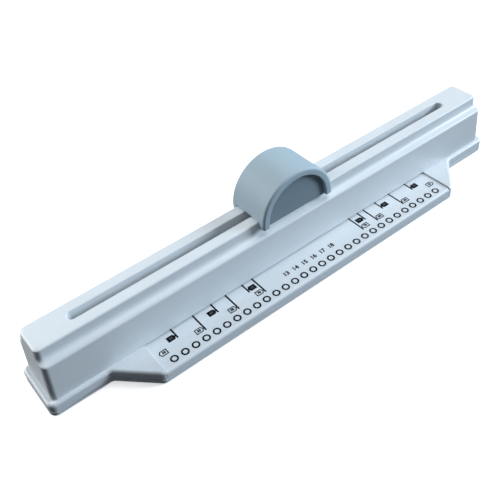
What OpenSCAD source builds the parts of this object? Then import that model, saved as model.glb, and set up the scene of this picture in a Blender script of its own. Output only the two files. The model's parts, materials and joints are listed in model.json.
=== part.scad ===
// Thirty-hole desk punch. A knob slides along the deck and its cam presses thirty sprung punches in turn.
// Millimetres, +Z up. X runs along the punch, Y from the paper table at the front to the rear.
// The origin is under the middle of the whole object, on the surface that its feet stand on.

/* [Casing] */
// How far the casing goes on beyond the paper at each end
end_l = 78.5; // [76:0.5:83]
// Depth of the foot flange, front to back
flange_d = 46.4; // [46:0.2:50]
// Height of the flange's upper face above the underside of the base
flange_h = 12.2; // [11.8:0.1:13]
// Corner radius of the flange
flange_corner_r = 5.5; // [4.5:0.5:8]
// Rounding of the flange's upper edge
flange_edge_r = 2.5; // [1:0.5:3]
// Height of the parting line above the underside of the base
split_h = 4; // [3.5:0.1:4.5]
// Height of the casing without the knob
case_h = 57.5; // [57:0.5:62]
// How far each end of the deck stands in from the end of the flange
deck_inset = 8; // [7:0.2:9]
// Depth of the deck
deck_d = 27.4; // [27:0.2:29]
// Height of the deck above the inner edge of its ledges
deck_rise = 9.8; // [8:0.2:10]
// Depth of the casing across its ledges
ledge_d = 40; // [39.4:0.2:42]
// Fall of each ledge from its inner to its outer edge
ledge_fall = 2; // [1:0.2:2.4]
// How far each end wall leans out on its way down to the flange
end_draft = 3.6; // [2:0.2:4.4]
// How far each long wall leans out on its way down to the flange
side_draft = 0.2; // [0:0.1:1]
// Radius of the upright corners of the casing
case_corner_r = 4.5; // [3:0.5:6]
// Rounding of the deck's edge
deck_edge_r = 1.2; // [0.6:0.2:2]
// Wall of the casing and of the base
wall = 2.2; // [1.6:0.1:2.4]
// Thickness of the deck
deck_t = 2.5; // [2:0.1:3]
// Floor of the base
floor_t = 2; // [1.8:0.1:2.4]

/* [Knob slot] */
// Deck left beyond each end of the slot
slot_end = 31; // [28:0.1:34]
// Width of the slot in the deck
slot_w = 8; // [7:0.2:10]

/* [Paper table] */
// From the outermost hole to the edge of the largest sheet
paper_margin = 10.75; // [10:0.05:11.5]
// Free width left beside that sheet
paper_play = 1; // [0.4:0.2:2]
// How far the table stands in front of the flange
table_reach = 27.6; // [27:0.2:32]
// Thickness of the table
table_t = 2; // [1.4:0.1:2.4]
// Height of the side wings above the table
guide_step = 1.2; // [0.8:0.1:1.6]
// Width of each wing along the front edge, before its corner is rounded
wing_front = 2.8; // [2.4:0.2:6]
// Radius of the wings' front corners
wing_corner_r = 5; // [4.6:0.2:7]

/* [Punching] */
// Distance between two holes
pitch = 9.5; // [9.3:0.1:9.6]
// Diameter of a punch
punch_d = 5.5; // [4.5:0.1:5.6]
// Travel of a punch
stroke = 5; // [4.6:0.1:5.2]
// Height of the throat that takes the paper
throat_h = 1.8; // [1.2:0.1:2]
// Distance from the paper's edge to the line of holes
hole_edge = 6.5; // [6:0.5:8]
// Thickness of the die plate
die_t = 2.5; // [2:0.1:2.6]
// Thickness of the pressed steel channels
steel_t = 1.6; // [1.2:0.1:1.8]
// Diameter of the collar on each punch
collar_d = 8.4; // [7.8:0.2:8.8]
// Diameter of the wheels on the carriage
wheel_d = 9; // [8:0.2:9.4]

/* [Knob] */
// Radius of the knob
knob_r = 35; // [32:0.5:38]
// How far the knob stands out past the deck, front and rear
knob_over = 6.3; // [5.3:0.1:8.3]
// Width of the rim round each recessed face
knob_rim = 6; // [4:0.5:8]
// Depth of each recess
knob_recess = 3; // [2:0.2:3.6]
// How far the knob's skirts hang below the deck
knob_hang = 5.2; // [2:0.2:8]
// Where the knob stands, from the middle of the punch
knob_x = 2.7; // [-20:0.1:20]

/* [Hidden] */
holes = 30;
function punch_name(i) = str("punch_", i < 10 ? "0" : "", i);

$fn = 64;
// Sides of the rounded posts that the casing is wrapped round
post_sides = 32;
// Straight steps in each rounded edge of the casing
edge_steps = 5;
// Overrun of every cut past the face that it opens
cut = 1;
// Thickness of the slices that a tapering block is wrapped round
slice = 1;
// Gap between pieces that slide or lie beside each other
gap = 0.3;
// Radial clearance of pieces that run in a bore
run_fit = 0.04;
// Gap between pieces that are pressed together, on each side
press_gap = 0.02;

// Screws, as hole, shank, head and the crossed recess in it
screw_hole_d = 3.3;
screw_d = 2.9;
screw_head_d = 5.6;
screw_head_t = 2;
recess_w = 0.9;
recess_l = 3;
recess_depth = 0.9;
// How far a screw reaches past the last piece that it holds
screw_end = 2;

// Levels, counted from the desk
foot_proud = 1;
base_z = foot_proud;
floor_z = base_z + floor_t;
split_z = base_z + split_h;
flange_z = base_z + flange_h;
table_z = flange_z - guide_step;
deck_z = base_z + case_h;
ledge_in_z = deck_z - deck_rise;
ledge_out_z = ledge_in_z - ledge_fall;
die_z = table_z - die_t;
web_z = table_z + throat_h;
screw_seat_z = base_z + screw_head_t + gap;

// Places from front to back
rear_y = (flange_d + table_reach) / 2;
front_y = -rear_y;
flange_front_y = rear_y - flange_d;
axis_y = rear_y - flange_d / 2;
stop_y = axis_y + hole_edge;

// Widths; each wing's end is cut off at 45 degrees
paper_l = (holes - 1) * pitch + 2 * paper_margin;
guide_half = (paper_l + paper_play) / 2;
flange_l = 2 * (guide_half + end_l);
deck_l = flange_l - 2 * deck_inset;
slot_l = deck_l - 2 * slot_end;
wing_x = guide_half + wing_front - wing_corner_r * tan(22.5);
ledge_run = (ledge_d - deck_d) / 2;
foot_half = ledge_d / 2 + side_draft - wall - gap;

// Steel frame inside the casing
channel_space = 3.3;
channel_end_space = 15.6;
channel_drop = 1;
channel_l = deck_l - 2 * channel_end_space;
channel_half = ledge_d / 2 - wall - channel_space;
channel_top_z = ledge_out_z - channel_drop;
lip_half = 6.5;
guide_l = holes * pitch + wall;
guide_drop = 15.7;
guide_top_z = channel_top_z - guide_drop;
frame_lap = 17;
die_l = 2 * (guide_half + frame_lap);
die_front_y = axis_y - foot_half;
die_rear_y = axis_y + channel_half + steel_t;
frame_screw_out = 9;
frame_screw_x = guide_half + frame_screw_out;
frame_screw_y = 7;

// Angles that close the ends of the channel
bracket_foot = 12;
bracket_foot_half = 5.5;
bracket_screw_out = 8;
bracket_screw_x = channel_l / 2 + bracket_screw_out;

// Rivets through the walls of both channels
rivet_d = 3;
rivet_head_d = 5.6;
rivet_head_t = 1;
rivet_span = 100;
rivet_z = (web_z + guide_top_z) / 2;

// Punches
tip_inset = 0.4;
notch_h = 1.2;
collar_t = 1.6;
head_over = 1.5;
head_bevel = 0.8;
head_z = guide_top_z + stroke + head_over;
tip_z = web_z + tip_inset;
collar_z = guide_top_z - steel_t - gap / 2 - collar_t;
spring_wire = 1;
spring_d = collar_d - gap;

// Carriage
stem_l = 40;
carriage_over = 10;
carriage_l = stem_l + 2 * carriage_over;
carriage_lift = 0.1;
core_half = lip_half - gap;
shoulder_half = 9.5;
shoulder_t = 2.5;
shoulder_z = channel_top_z + gap;
shoulder_seat_z = shoulder_z + shoulder_t / 2;
stem_h = 15.5;
stem_z = deck_z + stem_h;
stem_side_gap = 0.35;
stem_end_gap = 0.5;
stem_half = slot_w / 2 - stem_side_gap;
slide_half = (slot_l - stem_l) / 2 - stem_end_gap;

// Lip that hangs from the deck all round the slot and guides the stem
slot_lip_t = 1.5;
slot_lip_gap = 0.7;
slot_lip_z = shoulder_z + shoulder_t + slot_lip_gap;

// Cam shoe and the pegs that place it
shoe_l = 36;
shoe_half = 4.5;
shoe_flat = 6;
shoe_edge = 1.2;
shoe_rise = stroke + gap;
shoe_z = head_z + gap;
shoe_top_z = shoe_z + stroke + shoe_edge;
carriage_z = shoe_z + carriage_lift;
peg_x = 4;
peg_d = 2.4;
peg_h = 3;

// Wheels and axles
wheel_w = 4.4;
wheel_gap = 0.8;
wheel_chamfer = 0.5;
wheel_in = core_half + wheel_gap;
axle_d = 3;
axle_end = 0.4;
axle_in = 6;
axle_x = carriage_l / 2 - axle_in;
axle_z = channel_top_z - steel_t - gap - wheel_d / 2;

// Knob
knob_d = deck_d + 2 * knob_over;
knob_gap = 0.8;
knob_side_gap = 0.6;
knob_wall = 3;
knob_foot = 2.7;
knob_foot_z = deck_z - knob_hang;
knob_z = knob_foot_z + knob_foot;
panel_t = 2;
panel_gap = 0.2;
boss_wall = 3;
knob_screw_x = 12;
knob_screw_cover = 11.8;
knob_screw_l = knob_z + knob_r - knob_screw_cover - shoulder_seat_z;

// Posts of the cover, bosses of the base and the screws through both
boss_d = 7;
boss_h = 6;
boss_z = floor_z + boss_h;
case_screw_in = 9.1;
case_screw_side = 4;
case_screw_x = deck_l / 2 - case_screw_in;
case_screw_y = deck_d / 2 - case_screw_side;
case_screw_l = 17;
wing_boss_h = 3.5;
wing_boss_z = floor_z + wing_boss_h;
wing_screw_out = 9;
wing_screw_front = 9.5;
wing_screw_x = guide_half + wing_screw_out;
wing_screw_y = flange_front_y - wing_screw_front;

// Chip well and its door
well_over = 1;
well_l = 2 * (guide_half + well_over);
well_front_y = die_front_y + wall;
well_rear_y = die_rear_y - wall - gap;
door_t = 1.6;
door_gap = 0.3;
door_rise = 0.2;
door_z = base_z + door_rise;
door_rim_h = 1.2;
door_rim_t = 1.2;
hinge_r = 1.9;
hinge_pin_d = 2;
hinge_pin_l = 26;
hinge_z = door_z + hinge_r;
hinge_y = well_rear_y - door_gap - hinge_r;
ear_share = 0.4;
ear_x = well_l * ear_share;
ear_w = 5.4;

// Feet
foot_d = 12;
foot_h = 2.2;
rear_foot_in = 37.5;
rear_foot_back = 8.5;
rear_foot_x = flange_l / 2 - rear_foot_in;
rear_foot_y = rear_y - rear_foot_back;
front_foot_in = 19;
front_foot_back = 9;
front_foot_x = guide_half - front_foot_in;
front_foot_y = front_y + front_foot_back;

// Ribs of the base
rib_t = 2.2;
rib_lap = 0.3;
table_ribs = 2;
lip_t = 1.5;
lip_h = 2.4;

function punch_x(i) = (i - (holes + 1) / 2) * pitch;
// Half the length of the casing at a height
function end_x(z) = deck_l / 2 + end_draft * (deck_z - z) / (deck_z - flange_z);
function side_y(z) = ledge_d / 2 + side_draft * (ledge_out_z - z) / (ledge_out_z - flange_z);

// A round post whose upper edge is rounded
module rounded_post(r, h, edge) {
  turns = [for (s = [0:edge_steps]) 90 * s / edge_steps];
  rotate_extrude($fn = post_sides)
    polygon(concat(
      [[0, 0], [r, 0]],
      [for (a = turns) [r - edge + edge * cos(a), h - edge + edge * sin(a)]],
      [[0, h]]
    ));
}

// Four thin discs in the corners of a rectangle, for a block to be wrapped round
module corner_discs(half_l, half_d, z, r) {
  for (sx = [-1, 1], sy = [-1, 1])
    translate([sx * (half_l - r), axis_y + sy * (half_d - r), z])
      cylinder(r = r, h = slice, $fn = post_sides);
}

// Foot flange as one rounded block
module flange_block() {
  x = flange_l / 2 - flange_corner_r;
  y = flange_d / 2 - flange_corner_r;
  hull()
    for (sx = [-1, 1], sy = [-1, 1])
      translate([sx * x, axis_y + sy * y, split_z])
        rounded_post(flange_corner_r, flange_z - split_z, flange_edge_r);
}

// Table and wings as one rounded block with slanted ends
module table_block() {
  hull()
    for (sx = [-1, 1], back = [0, table_reach])
      translate([sx * (wing_x + back), front_y + wing_corner_r + back, split_z])
        rounded_post(wing_corner_r, flange_z - split_z, flange_edge_r);
}

// Outline of the whole foot, drawn in by an inset
module foot_outline(inset) {
  r = flange_corner_r - inset;
  translate([0, axis_y]) {
    square([flange_l - 2 * flange_corner_r, flange_d - 2 * inset], center = true);
    square([flange_l - 2 * inset, flange_d - 2 * flange_corner_r], center = true);
    for (sx = [-1, 1], sy = [-1, 1])
      translate([sx * (flange_l / 2 - flange_corner_r), sy * (flange_d / 2 - flange_corner_r)])
        circle(r = r);
  }
  hull()
    for (sx = [-1, 1], back = [0, table_reach])
      translate([sx * (wing_x + back), front_y + wing_corner_r + back])
        circle(r = wing_corner_r - inset, $fn = post_sides);
}

// Lower part of the casing, up to the ledges, drawn in by an inset
module lower_body(inset, z) {
  r = case_corner_r - inset;
  drop = inset * norm([ledge_run, ledge_fall]) / ledge_run + slice;
  hull() {
    corner_discs(end_x(z) - inset, side_y(z) - inset, z, r);
    corner_discs(end_x(ledge_out_z) - inset, ledge_d / 2 - inset, ledge_out_z - drop, r);
    corner_discs(end_x(ledge_in_z) - inset, deck_d / 2, ledge_in_z - drop, r);
  }
}

// Upper part of the casing, with the deck on top
module deck_block() {
  hull() {
    corner_discs(end_x(ledge_out_z), deck_d / 2, ledge_out_z - slice, case_corner_r);
    for (sx = [-1, 1], sy = [-1, 1])
      translate([sx * (deck_l / 2 - case_corner_r), axis_y + sy * (deck_d / 2 - case_corner_r), ledge_in_z])
        rounded_post(case_corner_r, deck_z - ledge_in_z, deck_edge_r);
  }
}

module deck_cavity() {
  half = deck_d / 2 - wall;
  translate([-deck_l / 2 + wall, axis_y - half, ledge_out_z - wall - cut])
    cube([deck_l - 2 * wall, 2 * half, deck_z - deck_t - ledge_out_z + wall + cut]);
}

// Hollow under the flange and the wings, with a wall left between each wing and the table
module flange_cavity() {
  translate([0, 0, split_z - cut])
    linear_extrude(flange_z - wall - split_z + cut)
      difference() {
        foot_outline(wall);
        translate([-guide_half - wall, front_y - cut])
          square([2 * (guide_half + wall), table_reach + wall + cut]);
      }
}

// A long block with round ends, on the axis of the punches
module round_ended(l, w, z, h) {
  translate([-(l - w) / 2, axis_y - w / 2, z])
    cube([l - w, w, h]);
  for (sx = [-1, 1])
    translate([sx * (l - w) / 2, axis_y, z])
      cylinder(d = w, h = h);
}

module case_posts() {
  for (sx = [-1, 1]) {
    for (sy = [-1, 1])
      translate([sx * case_screw_x, axis_y + sy * case_screw_y, boss_z])
        cylinder(d = boss_d, h = deck_z - deck_t / 2 - boss_z);
    translate([sx * wing_screw_x, wing_screw_y, wing_boss_z])
      cylinder(d = boss_d, h = flange_z - wall / 2 - wing_boss_z);
  }
}

module case_post_holes() {
  for (sx = [-1, 1]) {
    for (sy = [-1, 1])
      translate([sx * case_screw_x, axis_y + sy * case_screw_y, boss_z - cut])
        cylinder(d = screw_d + 2 * press_gap, h = case_screw_l + cut);
    translate([sx * wing_screw_x, wing_screw_y, wing_boss_z - cut])
      cylinder(d = screw_d + 2 * press_gap, h = flange_z - wall / 2 - wing_boss_z + cut);
  }
}

// White shell with the deck, its ledges, the foot flange and the two wings
module top_cover() {
  color("gainsboro")
    difference() {
      union() {
        difference() {
          union() {
            flange_block();
            table_block();
            lower_body(0, flange_z - wall);
            deck_block();
          }
          lower_body(wall, split_z - cut);
          deck_cavity();
          flange_cavity();
        }
        case_posts();
        round_ended(
          slot_l + 2 * slot_lip_t,
          slot_w + 2 * slot_lip_t,
          slot_lip_z,
          deck_z - deck_t / 2 - slot_lip_z
        );
      }
      case_post_holes();
      round_ended(slot_l, slot_w, slot_lip_z - cut, deck_z - slot_lip_z + 2 * cut);
      translate([-guide_half, front_y - cut, split_z - cut])
        cube([2 * guide_half, axis_y - front_y, web_z - split_z + cut]);
    }
}

// A screw that points up, with its head below and its seat at z = 0
module screw(l) {
  difference() {
    union() {
      translate([0, 0, -screw_head_t])
        cylinder(d = screw_head_d, h = screw_head_t);
      cylinder(d = screw_d, h = l - screw_d / 2);
      translate([0, 0, l - screw_d / 2])
        cylinder(d1 = screw_d, d2 = screw_d / 3, h = screw_d / 2);
    }
    for (turn = [0, 90])
      rotate([0, 0, turn])
        translate([-recess_l / 2, -recess_w / 2, -screw_head_t - cut])
          cube([recess_l, recess_w, recess_depth + cut]);
  }
}

// Upright boss on the floor, and the stepped hole that a screw takes through it
module floor_boss(x, y, top) {
  translate([x, y, base_z + floor_t / 2])
    cylinder(d = boss_d + wall, h = top - base_z - floor_t / 2);
}

module floor_hole(x, y, top) {
  translate([x, y, base_z - cut])
    cylinder(d = screw_head_d + 2 * gap, h = screw_head_t + gap + cut);
  translate([x, y, base_z])
    cylinder(d = screw_hole_d, h = top - base_z + cut);
}

module floor_bosses(holes_only) {
  for (sx = [-1, 1]) {
    for (sy = [-1, 1]) {
      if (holes_only) {
        floor_hole(sx * case_screw_x, axis_y + sy * case_screw_y, boss_z);
        floor_hole(sx * frame_screw_x, axis_y + sy * frame_screw_y, die_z);
      } else {
        floor_boss(sx * case_screw_x, axis_y + sy * case_screw_y, boss_z);
        floor_boss(sx * frame_screw_x, axis_y + sy * frame_screw_y, die_z);
      }
    }
    if (holes_only) {
      floor_hole(sx * wing_screw_x, wing_screw_y, wing_boss_z);
      floor_hole(sx * bracket_screw_x, axis_y, boss_z);
    } else {
      floor_boss(sx * wing_screw_x, wing_screw_y, wing_boss_z);
      floor_boss(sx * bracket_screw_x, axis_y, boss_z);
    }
  }
}

// Ribs round the chip well, which carry the die plate, and ribs under the table
module base_ribs() {
  well_d = well_rear_y - well_front_y;
  rib_h = die_z - floor_z + rib_lap;
  for (y = [die_front_y, well_rear_y])
    translate([-well_l / 2 - wall, y, floor_z - rib_lap])
      cube([well_l + 2 * wall, wall, rib_h]);
  for (sx = [-1, 1])
    translate([sx * (well_l + wall) / 2 - wall / 2, well_front_y - rib_lap, floor_z - rib_lap])
      cube([wall, well_d + 2 * rib_lap, rib_h]);
  span = die_front_y - front_y - 2 * wall;
  for (k = [1:table_ribs])
    translate([-guide_half + 2 * gap, front_y + wall + span * (k - 0.5) / table_ribs, floor_z - rib_lap])
      cube([2 * guide_half - 4 * gap, rib_t, table_z - table_t - floor_z + rib_lap]);
}

// Ears that hold the hinge pins of the chip door
module hinge_ears() {
  for (sx = [-1, 1])
    translate([sx * ear_x - ear_w / 2, hinge_y, hinge_z])
      rotate([0, 90, 0]) {
        cylinder(r = hinge_r, h = ear_w);
        translate([-hinge_r, 0, 0])
          cube([2 * hinge_r, well_rear_y - hinge_y + rib_lap, ear_w]);
      }
}

module pin_bores(d) {
  for (sx = [-1, 1])
    translate([sx * ear_x - hinge_pin_l / 2 - cut, hinge_y, hinge_z])
      rotate([0, 90, 0])
        cylinder(d = d, h = hinge_pin_l + 2 * cut);
}

module feet_places() {
  for (sx = [-1, 1]) {
    translate([sx * rear_foot_x, rear_foot_y, 0]) children();
    translate([sx * front_foot_x, front_foot_y, 0]) children();
  }
}

// Shallow pan under the casing, with the well that catches the chips
module base_shell() {
  color("gainsboro")
    difference() {
      union() {
        difference() {
          translate([0, 0, base_z])
            linear_extrude(split_h)
              foot_outline(0);
          translate([0, 0, floor_z])
            linear_extrude(split_h)
              foot_outline(wall);
        }
        difference() {
          translate([0, 0, floor_z - rib_lap])
            linear_extrude(split_h - floor_t + lip_h + rib_lap)
              foot_outline(wall + gap);
          translate([0, 0, floor_z - rib_lap - cut])
            linear_extrude(split_h + lip_h + 2 * cut)
              foot_outline(wall + gap + lip_t);
          translate([-guide_half - wall - gap, front_y - cut, split_z])
            cube([2 * (guide_half + wall + gap), axis_y - front_y, split_h + lip_h]);
        }
        base_ribs();
        floor_bosses(false);
      }
      floor_bosses(true);
      translate([-well_l / 2, well_front_y, base_z - cut])
        cube([well_l, well_rear_y - well_front_y, floor_t + 2 * cut]);
      feet_places()
        translate([0, 0, base_z - cut])
          cylinder(d = foot_d + 2 * press_gap, h = foot_h - foot_proud + cut);
    }
  color("gainsboro")
    difference() {
      hinge_ears();
      pin_bores(hinge_pin_d + 2 * press_gap);
    }
}

// White table with a rounded front edge, which carries the printed hole marks
module scale_plate() {
  half = guide_half - gap;
  r = flange_edge_r;
  rear = die_front_y - gap / 2;
  color("ghostwhite")
    translate([-half, 0, 0])
      rotate([90, 0, 90])
        linear_extrude(2 * half) {
          translate([front_y + r, table_z - table_t])
            square([rear - front_y - r, table_t]);
          translate([front_y, split_z])
            square([wall, table_z - r - split_z]);
          translate([front_y + r, table_z - r])
            intersection() {
              circle(r = r);
              translate([-r, 0])
                square(r);
            }
        }
}

// Door under the chip well, with a barrel along its rear edge
module chip_door() {
  half = well_l / 2 - door_gap;
  front = well_front_y + door_gap;
  rim_half = half - door_gap;
  rim_front = front + door_gap;
  rim_rear = hinge_y - hinge_r / 2;
  color("lightgray")
    difference() {
      union() {
        translate([-half, front, door_z])
          cube([2 * half, rim_rear - front, door_t]);
        difference() {
          translate([-rim_half, rim_front, door_z])
            cube([2 * rim_half, rim_rear - rim_front, door_t + door_rim_h]);
          translate([-rim_half + door_rim_t, rim_front + door_rim_t, door_z + door_t])
            cube([2 * (rim_half - door_rim_t), rim_rear - rim_front - 2 * door_rim_t, door_rim_h + cut]);
        }
        translate([-half, hinge_y, hinge_z])
          rotate([0, 90, 0])
            cylinder(r = hinge_r, h = 2 * half);
      }
      pin_bores(hinge_pin_d + 2 * run_fit);
      for (sx = [-1, 1])
        translate([sx * ear_x - ear_w / 2 - gap, hinge_y - hinge_r - gap, base_z - cut])
          cube([ear_w + 2 * gap, 2 * hinge_r + 2 * gap + cut, 2 * hinge_r + door_rim_h + 2 * cut]);
    }
}

module door_hinge_pins() {
  color("silver")
    for (sx = [-1, 1])
      translate([sx * ear_x - hinge_pin_l / 2, hinge_y, hinge_z])
        rotate([0, 90, 0])
          cylinder(d = hinge_pin_d, h = hinge_pin_l);
}

// Holes for the four screws that clamp the steel parts to the base
module frame_screw_holes(z, h, d) {
  for (sx = [-1, 1], sy = [-1, 1])
    translate([sx * frame_screw_x, axis_y + sy * frame_screw_y, z - cut])
      cylinder(d = d, h = h + 2 * cut);
}

// A row of bores, one for each punch
module punch_bores(z, h, d) {
  for (i = [1:holes])
    translate([punch_x(i), axis_y, z - cut])
      cylinder(d = d, h = h + 2 * cut);
}

module die_plate() {
  color("silver")
    difference() {
      translate([-die_l / 2, die_front_y, die_z])
        cube([die_l, die_rear_y - die_front_y, die_t]);
      punch_bores(die_z, die_t, punch_d + 2 * run_fit);
      frame_screw_holes(die_z, die_t, screw_hole_d);
    }
}

// Steel strip that sets the throat, with the stop for the paper's edge
module throat_spacer() {
  color("darkgray")
    difference() {
      union() {
        translate([-die_l / 2, stop_y, table_z])
          cube([die_l, die_rear_y - stop_y, throat_h]);
        for (sx = [-1, 1])
          translate([sx * (guide_half + frame_lap / 2) - frame_lap / 2, axis_y - channel_half, table_z])
            cube([frame_lap, die_rear_y - axis_y + channel_half, throat_h]);
      }
      frame_screw_holes(table_z, throat_h, screw_hole_d);
    }
}

module rivet_places() {
  for (x = [-rivet_span, 0, rivet_span], sy = [-1, 1])
    translate([x, axis_y + sy * channel_half, rivet_z])
      rotate([-sy * 90, 0, 0])
        children();
}

module guide_rivets() {
  color("silver")
    rivet_places() {
      translate([0, 0, -2 * steel_t - 2 * gap])
        cylinder(d = rivet_d, h = 2 * steel_t + 2 * gap + rivet_head_t / 2);
      cylinder(d = rivet_head_d, h = rivet_head_t);
    }
}

module rivet_holes() {
  rivet_places()
    translate([0, 0, -3 * steel_t])
      cylinder(d = rivet_d + 2 * press_gap, h = 3 * steel_t + cut);
}

// Steel channel whose lips carry the wheels and whose web guides the punches
module punch_channel() {
  color("silver")
    difference() {
      translate([-channel_l / 2, axis_y, 0])
        rotate([90, 0, 90])
          linear_extrude(channel_l)
            difference() {
              translate([-channel_half, web_z])
                square([2 * channel_half, channel_top_z - web_z]);
              translate([-channel_half + steel_t, web_z + steel_t])
                square([2 * (channel_half - steel_t), channel_top_z - web_z - 2 * steel_t]);
              translate([-lip_half, channel_top_z - steel_t - cut])
                square([2 * lip_half, steel_t + 2 * cut]);
            }
      punch_bores(web_z, steel_t, punch_d + 2 * run_fit);
      frame_screw_holes(web_z, steel_t, screw_d + 2 * press_gap);
      rivet_holes();
    }
}

// Inner channel, turned over, that guides the upper ends of the punches
module upper_guide() {
  half = channel_half - steel_t - press_gap;
  color("silver")
    difference() {
      translate([-guide_l / 2, axis_y, 0])
        rotate([90, 0, 90])
          linear_extrude(guide_l)
            difference() {
              translate([-half, web_z + steel_t])
                square([2 * half, guide_top_z - web_z - steel_t]);
              translate([-half + steel_t, web_z + steel_t - cut])
                square([2 * (half - steel_t), guide_top_z - web_z - 2 * steel_t + cut]);
            }
      punch_bores(guide_top_z - steel_t, steel_t, punch_d + 2 * run_fit);
      rivet_holes();
    }
}

// Angle that closes an end of the channel and stands on the base
module channel_bracket(side) {
  color("silver")
    scale([side, 1, 1])
      difference() {
        union() {
          translate([channel_l / 2, axis_y - channel_half + gap, web_z])
            cube([steel_t, 2 * (channel_half - gap), channel_top_z - web_z]);
          translate([channel_l / 2, axis_y - bracket_foot_half, boss_z])
            cube([steel_t, 2 * bracket_foot_half, web_z - boss_z + gap]);
          translate([channel_l / 2, axis_y - bracket_foot_half, boss_z])
            cube([bracket_foot, 2 * bracket_foot_half, steel_t]);
        }
        translate([bracket_screw_x, axis_y, boss_z - cut])
          cylinder(d = screw_d + 2 * press_gap, h = steel_t + 2 * cut);
      }
}

// Rubber blocks that the carriage meets at either end of its travel
module end_bumpers() {
  half = core_half - gap;
  face_x = slide_half + carriage_l / 2 + gap;
  color("dimgray")
    for (sx = [-1, 1])
      scale([sx, 1, 1])
        translate([face_x, axis_y - half, carriage_z])
          cube([channel_l / 2 - face_x, 2 * half, channel_top_z - steel_t - gap - carriage_z]);
}

module bracket_screws() {
  color("silver")
    for (sx = [-1, 1])
      translate([sx * bracket_screw_x, axis_y, screw_seat_z])
        screw(boss_z + steel_t + screw_end - screw_seat_z);
}

module frame_screws() {
  color("silver")
    for (sx = [-1, 1], sy = [-1, 1])
      translate([sx * frame_screw_x, axis_y + sy * frame_screw_y, screw_seat_z])
        screw(web_z + steel_t + screw_end - screw_seat_z);
}

module case_screws() {
  color("silver")
    for (sx = [-1, 1]) {
      for (sy = [-1, 1])
        translate([sx * case_screw_x, axis_y + sy * case_screw_y, screw_seat_z])
          screw(boss_z + case_screw_l - screw_end - screw_seat_z);
      translate([sx * wing_screw_x, wing_screw_y, screw_seat_z])
        screw(flange_z - wall - screw_end / 2 - screw_seat_z);
    }
}

module rubber_feet() {
  color("dimgray")
    feet_places()
      cylinder(d = foot_d, h = foot_h);
}

// Sliding block that straddles the lips of the channel and carries the knob
module carriage() {
  color("darkslategray")
    translate([knob_x, axis_y, 0])
      difference() {
        union() {
          translate([-carriage_l / 2, -core_half, carriage_z])
            cube([carriage_l, 2 * core_half, shoulder_z + shoulder_t - carriage_z]);
          translate([-carriage_l / 2, -shoulder_half, shoulder_z])
            cube([carriage_l, 2 * shoulder_half, shoulder_t]);
          translate([0, -axis_y, 0])
            round_ended(stem_l, 2 * stem_half, shoulder_z, stem_z - shoulder_z);
        }
        translate([-shoe_l / 2 - press_gap, -shoe_half - press_gap, carriage_z - cut])
          cube([shoe_l + 2 * press_gap, 2 * (shoe_half + press_gap), shoe_top_z - carriage_z + cut]);
        for (sx = [-1, 1]) {
          translate([sx * axle_x, -core_half - cut, axle_z])
            rotate([-90, 0, 0])
              cylinder(d = axle_d + 2 * run_fit, h = 2 * (core_half + cut));
          translate([sx * knob_screw_x, 0, shoe_top_z - cut])
            cylinder(d = screw_head_d + 2 * gap, h = shoulder_seat_z - shoe_top_z + cut);
          translate([sx * knob_screw_x, 0, shoe_top_z])
            cylinder(d = screw_hole_d, h = stem_z);
          translate([sx * peg_x, 0, shoe_top_z - cut])
            cylinder(d = peg_d + 2 * press_gap, h = peg_h + gap + cut);
        }
      }
}

// Steel cam under the carriage, with a shallow ramp at either end
module cam_shoe() {
  color("silver")
    translate([knob_x, axis_y, 0]) {
      translate([0, shoe_half, shoe_z])
        rotate([90, 0, 0])
          linear_extrude(2 * shoe_half)
            polygon([
              [-shoe_flat / 2, 0],
              [shoe_flat / 2, 0],
              [shoe_l / 2, shoe_rise],
              [shoe_l / 2, shoe_top_z - shoe_z],
              [-shoe_l / 2, shoe_top_z - shoe_z],
              [-shoe_l / 2, shoe_rise]
            ]);
      for (sx = [-1, 1])
        translate([sx * peg_x, 0, shoe_top_z - cut])
          cylinder(d = peg_d, h = peg_h + cut);
    }
}

// Axle with a wheel outside either cheek of the carriage; side is -1 or 1
module axle(side) {
  half = wheel_in + wheel_w + axle_end;
  color("silver")
    translate([knob_x + side * axle_x, axis_y - half, axle_z])
      rotate([-90, 0, 0])
        cylinder(d = axle_d, h = 2 * half);
}

module wheels(side) {
  r = wheel_d / 2;
  bore_r = axle_d / 2 + press_gap;
  color("white")
    for (sy = [-1, 1])
      translate([knob_x + side * axle_x, axis_y + sy * (wheel_in + wheel_w / 2), axle_z])
        rotate([-90, 0, 0])
          translate([0, 0, -wheel_w / 2])
            rotate_extrude()
              polygon([
                [bore_r, 0],
                [r - wheel_chamfer, 0],
                [r, wheel_chamfer],
                [r, wheel_w - wheel_chamfer],
                [r - wheel_chamfer, wheel_w],
                [bore_r, wheel_w]
              ]);
}

// Half cylinder that stands on a plane below its axis, along Y and centred on it
module arch(r, d, foot) {
  translate([0, d / 2, 0])
    rotate([90, 0, 0])
      linear_extrude(d) {
        intersection() {
          circle(r = r);
          translate([-r, 0])
            square([2 * r, r]);
        }
        if (foot > 0)
          translate([-r, -foot])
            square([2 * r, foot]);
      }
}

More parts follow.
